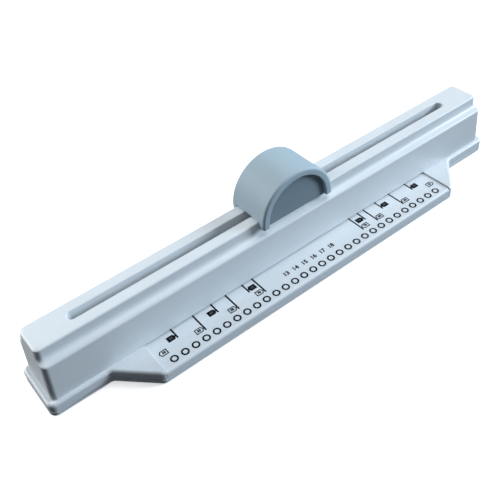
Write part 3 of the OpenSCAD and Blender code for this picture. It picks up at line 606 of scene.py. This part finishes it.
def makeKnob():
    outer, half = knob["radius"], knob["depth"] / 2
    inner, floor = outer - knob["rim"], half - knob["recess"] - knob["panelThickness"]
    middle, spare = knob["x"], knob["cutSpare"]
    rimSoft, mouthSoft = knob["rimOuterSoft"], knob["rimInnerSoft"]
    profile = [(-floor, 0, 0), (-floor, inner, 0), (-half, inner, mouthSoft), (-half, outer, rimSoft),
               (half, outer, rimSoft), (half, inner, mouthSoft), (floor, inner, 0), (floor, 0, 0)]
    shell = halfRound("KnobShell", profile, knob["foot"])
    bm = bmesh.new()
    reach, low = knob["straddle"] / 2, knob["axisHeight"] - knob["foot"]
    addBox(bm, (middle - outer - spare, axisY - reach, low - spare),
           (middle + outer + spare, axisY + reach, knob["deckHeight"] + knob["deckGap"]))
    combine(shell, makeObject(bm, "straddle"), "DIFFERENCE")
    bm = bmesh.new()
    length, width, top = knob["stem"]
    addBox(bm, (middle - length / 2, axisY - width / 2, low),
           (middle + length / 2, axisY + width / 2, top))
    combine(shell, makeObject(bm, "stemPocket"), "DIFFERENCE")
    softenEdges(shell, knob["edge"])
    finishPiece(shell, "knob_carriage", finishes["knob_grey"], ["knob_shell"])

    near, panelRadius = half - knob["recess"], inner - knob["panelGap"]
    innerSoft, outerSoft = knob["panelSoft"]
    for side, name, nodeName in ((-1, "KnobFrontPanel", "knob_front_panel"),
                                 (1, "KnobRearPanel", "knob_rear_panel")):
        profile = [(side * floor, 0, 0), (side * floor, panelRadius, innerSoft),
                   (side * near, panelRadius, outerSoft), (side * near, 0, 0)]
        panel = halfRound(name, profile, knob["foot"])
        finishPiece(panel, "knob_carriage", finishes["knob_face_grey"], [nodeName])
    return shell


knobShell = makeKnob()
print("knob made:", len(knobShell.data.polygons), "faces")


# Return springs: a wire wound round each punch

# keep is the share of its length that a spring has when its punch is down
spring = {"low": 15.4, "high": 26.6, "outer": 8.0, "wire": 0.9, "turns": 6.5, "stepsPerTurn": 14, "sides": 8,
          "keep": 0.54}


def makeSpring(number):
    x = (number - (marks["rings"] + 1) / 2) * marks["pitch"]
    radius = (spring["outer"] - spring["wire"]) / 2
    travel = spring["high"] - spring["low"] - spring["wire"]
    steps = round(spring["turns"] * spring["stepsPerTurn"])
    bm = bmesh.new()
    start = Matrix.Translation((x + radius, axisY, spring["low"] + spring["wire"] / 2))
    upright = start @ Matrix.Rotation(math.pi / 2, 4, "X")
    ring = bmesh.ops.create_circle(bm, cap_ends=False, segments=spring["sides"],
                                   radius=spring["wire"] / 2, matrix=upright)["verts"]
    edges = list({e for v in ring for e in v.link_edges})
    bmesh.ops.spin(bm, geom=ring + edges, cent=(x, axisY, 0), axis=(0, 0, 1), dvec=(0, 0, travel / steps),
                   angle=math.tau * spring["turns"], steps=steps, use_merge=False, use_duplicate=False)
    bmesh.ops.holes_fill(bm, edges=[e for e in bm.edges if e.is_boundary], sides=0)
    bmesh.ops.recalc_face_normals(bm, faces=bm.faces)
    piece = makeObject(bm, f"ReturnSpring{number:02d}")
    finishPiece(piece, "casing", finishes["spring_steel"], ["return_springs"],
                smoothAngle=60, weighted=False)
    x * metre
    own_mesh(piece)
    return piece


returnSprings = [makeSpring(number) for number in range(1, marks["rings"] + 1)]
print("springs made:", len(returnSprings))


# Rubber feet, and the base, door and carriage with their edges broken

feet = {"places": ((190, 28.5), (-190, 28.5), (130, -28), (-130, -28)),
        "diameter": 12, "top": 2.2, "edge": 0.45}
base = {"edge": 0.4, "bottom": 1, "rounding": 1.2, "top": 12, "spare": 0.02,
        "doorEdge": 0.25, "carriageEdge": 0.3}


def makeFeet():
    bm = bmesh.new()
    for x, y in feet["places"]:
        addPost(bm, x, y, 0, feet["top"], feet["diameter"], segments=56)
    rims = [e for e in bm.edges if all(abs(v.co.z) < 1e-5 for v in e.verts)]
    bmesh.ops.bevel(bm, geom=rims, affect="EDGES", offset=feet["edge"], offset_type="OFFSET", segments=4,
                    profile=0.5, material=-1, clamp_overlap=False)
    piece = makeObject(bm, "RubberFeet")
    return finishPiece(piece, "casing", finishes["black_rubber"], ["rubber_feet"])


# A block whose bottom edge is rounded; what the copy has outside it is cut away
def roundBottom(piece):
    r, spare = base["rounding"], base["spare"]
    rings = [(r - r * math.sin(a) - spare, base["bottom"] + r - r * math.cos(a) - spare)
             for a in quarterTurn()]
    combine(piece, footBlock("rounding", [*rings, (-spare, base["top"])]), "INTERSECT")


def makeSoftCopy(name, nodeName, body, width, rounded=False):
    piece = makeObject(copyNode(nodeName), name)
    if rounded:
        roundBottom(piece)
    softenEdges(piece, width, segments=2, angle=50)
    slot = slotOf[nodeName]
    return finishPiece(piece, body, finishes[slot], [nodeName])


makeFeet()
makeSoftCopy("BaseShell", "base_shell", "casing", base["edge"], rounded=True)
makeSoftCopy("ChipDoor", "chip_door", "chip_door", base["doorEdge"])
makeSoftCopy("Carriage", "carriage", "knob_carriage", base["carriageEdge"])
print("feet, base, door and carriage made")


# Floor, light and camera

studio = {
    "cameraPlace": (-0.2607, -0.3275, 0.4114), "cameraAngles": (46.2239, 4.5615, -38.0084), "lens": 50.54,
    "sensor": 36, "nearest": 0.01, "farthest": 50,
    "floorSize": 12, "floorRise": 3, "floorGlow": 0.6,
    "floorColour": (0.93, 0.94, 0.95), "floorTint": (0.95, 0.955, 0.96),
    "skyColour": (0.80, 0.90, 1.0), "skyStrength": 0.08,
    "lightTarget": (0, 0, 0.03),
    "lights": (
        ("rightLight", (2.3, -1.2, 1.0), 1.1, 76, (0.78, 0.92, 1.05)),
        ("rearLight", (-0.78, 0.98, 0.6), 0.9, 16, (0.96, 0.99, 1.0)),
        ("topLight", (0.45, -0.15, 1.3), 1.0, 8, (0.98, 0.99, 1.0)),
    ),
}


def aimedAt(place, target):
    return (Vector(target) - Vector(place)).to_track_quat("-Z", "Y").to_euler()


def makeStudio():
    bm = bmesh.new()
    bmesh.ops.create_grid(bm, x_segments=1, y_segments=1, size=studio["floorSize"] / 2)
    rim = bmesh.ops.extrude_edge_only(bm, edges=list(bm.edges))["geom"]
    bmesh.ops.translate(bm, vec=(0, 0, studio["floorRise"]), verts=onlyVerts(rim))
    floor = makeObject(bm, "Floor")
    material, shader, place = startFinish("PaleFloor")
    tint = blendColours(noise(place, 3, detail=2), studio["floorColour"], studio["floorTint"])
    connect(shader, {"Base Color": tint, "Roughness": 0.85 + noise(place, 400) * 0.05})
    shader.inputs["Emission Color"].default_value = (1, 1, 1, 1)
    shader.inputs["Emission Strength"].default_value = studio["floorGlow"]
    floor.data.materials.append(material)
    floor.visible_diffuse, floor.visible_glossy = False, False

    bpy.context.scene.view_settings.view_transform = "Standard"
    world = bpy.data.worlds.new("Sky")
    world.use_nodes = True
    background = world.node_tree.nodes["Background"]
    background.inputs["Color"].default_value = (*studio["skyColour"], 1)
    background.inputs["Strength"].default_value = studio["skyStrength"]
    bpy.context.scene.world = world

    for name, place, size, power, colour in studio["lights"]:
        lamp = bpy.data.lights.new(name, "AREA")
        lamp.shape, lamp.size, lamp.energy, lamp.color = "DISK", size, power, colour
        holder = bpy.data.objects.new(name, lamp)
        holder.location, holder.rotation_euler = place, aimedAt(place, studio["lightTarget"])
        bpy.context.scene.collection.objects.link(holder)

    lens = bpy.data.cameras.new("PhotoView")
    lens.lens, lens.sensor_width = studio["lens"], studio["sensor"]
    lens.clip_start, lens.clip_end = studio["nearest"], studio["farthest"]
    camera = bpy.data.objects.new("PhotoView", lens)
    camera.location = studio["cameraPlace"]
    camera.rotation_euler = Euler([math.radians(a) for a in studio["cameraAngles"]])
    bpy.context.scene.collection.objects.link(camera)
    bpy.context.scene.camera = camera


makeStudio()
print("studio made")
